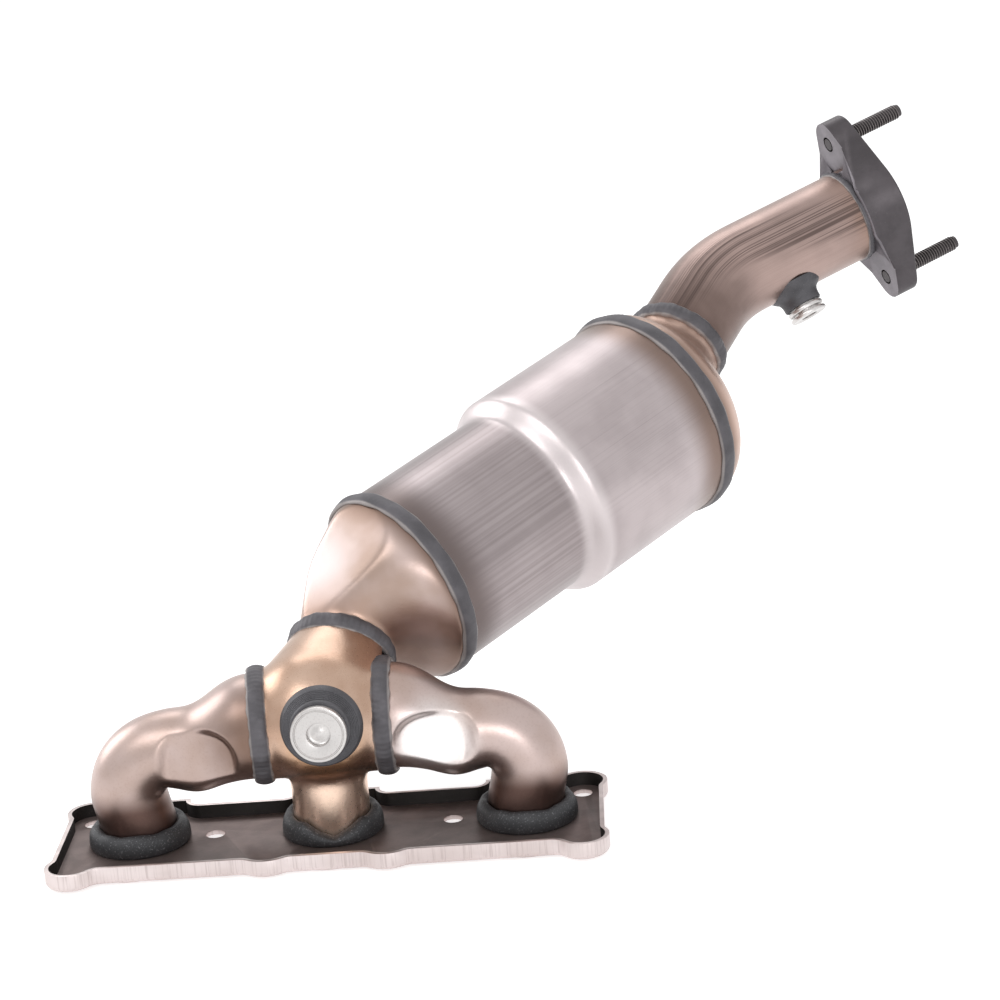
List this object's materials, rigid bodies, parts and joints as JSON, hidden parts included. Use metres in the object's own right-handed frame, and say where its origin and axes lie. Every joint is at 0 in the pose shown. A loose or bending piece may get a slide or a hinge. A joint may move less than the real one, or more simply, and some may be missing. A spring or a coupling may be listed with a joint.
{
  "type": "manifold catalytic converter",
  "caption": "Exhaust manifold and catalytic converter in one: a flanged tray with ports, dimpled runners, round collector, stepped casing, bent outlet pipe with an oval stud flange.",
  "frame": {"origin": "centre port's axis on the mounting face of the manifold flange", "axes": "+Z away from the cylinder head, +X along the flange towards the right port, the converter leaves towards +Y"},
  "size_m": [0.4666, 0.3707, 0.2767],
  "materials": {
    "tray_steel": "satin",
    "collar_steel": "rough",
    "runner_steel": "satin",
    "collector_steel": "satin",
    "cone_steel": "satin",
    "casing_steel": "satin",
    "pipe_steel": "satin",
    "weld_bead": "rough",
    "outlet_flange_steel": "rough",
    "stud_steel": "satin",
    "boss_steel": "rough",
    "plug_steel": "satin",
    "brick_ceramic": "matte",
    "mat_fibre": "matte",
    "seal_mesh": "rough"
  },
  "bodies": {
    "root": {"manifold_flange": "tray_steel", "left_port_collar": "collar_steel", "centre_port_collar": "collar_steel", "right_port_collar": "collar_steel", "left_runner": "runner_steel", "right_runner": "runner_steel", "left_runner_weld": "weld_bead", "right_runner_weld": "weld_bead", "collector": "collector_steel", "collector_weld": "weld_bead", "inlet_cone": "cone_steel", "inlet_cone_weld": "weld_bead", "converter_casing": "casing_steel", "front_monolith": "brick_ceramic", "rear_monolith": "brick_ceramic", "front_support_mat": "mat_fibre", "rear_support_mat": "mat_fibre", "front_inlet_mat_seal": "seal_mesh", "front_outlet_mat_seal": "seal_mesh", "rear_inlet_mat_seal": "seal_mesh", "rear_outlet_mat_seal": "seal_mesh", "outlet_cone": "cone_steel", "outlet_cone_weld": "weld_bead", "outlet_pipe": "pipe_steel", "outlet_pipe_weld": "weld_bead", "outlet_flange": "outlet_flange_steel", "outlet_flange_weld": "weld_bead", "flange_studs": "stud_steel", "front_sensor_boss": "boss_steel", "rear_sensor_boss": "boss_steel", "front_sensor_plug": "plug_steel", "rear_sensor_plug": "plug_steel"}
  },
  "joints": []
}
